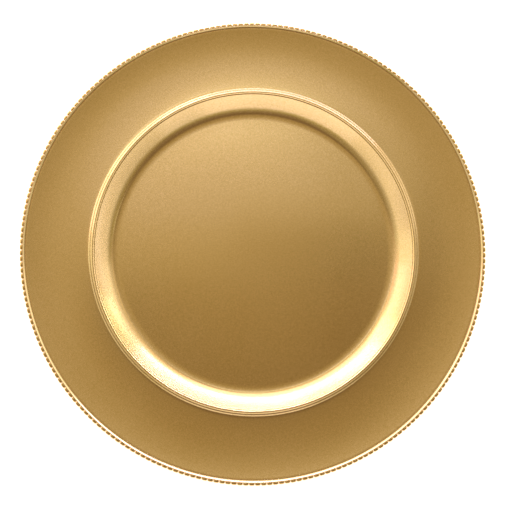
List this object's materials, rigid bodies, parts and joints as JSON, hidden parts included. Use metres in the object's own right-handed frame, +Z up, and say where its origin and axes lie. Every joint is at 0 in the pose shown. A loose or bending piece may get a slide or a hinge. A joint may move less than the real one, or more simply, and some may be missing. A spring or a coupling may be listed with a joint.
{
  "type": "charger plate",
  "caption": "Round metallic-gold charger plate: shallow flat well, fine raised ring, broad gently rising rim, and an edge band carrying a border of small beads.",
  "frame": {"origin": "middle of the circle the foot ring stands on, at table level", "axes": "+Z up along the plate's axis of revolution; +X and +Y lie in the table plane"},
  "size_m": [0.33, 0.33, 0.021],
  "materials": {
    "gold_lacquer": "satin",
    "gold_foot": "satin",
    "gold_band": "satin",
    "gold_beads": "satin"
  },
  "bodies": {
    "root": {"plate_body": "gold_lacquer", "foot_ring": "gold_foot", "edge_band": "gold_band", "bead_border": "gold_beads"}
  },
  "joints": []
}
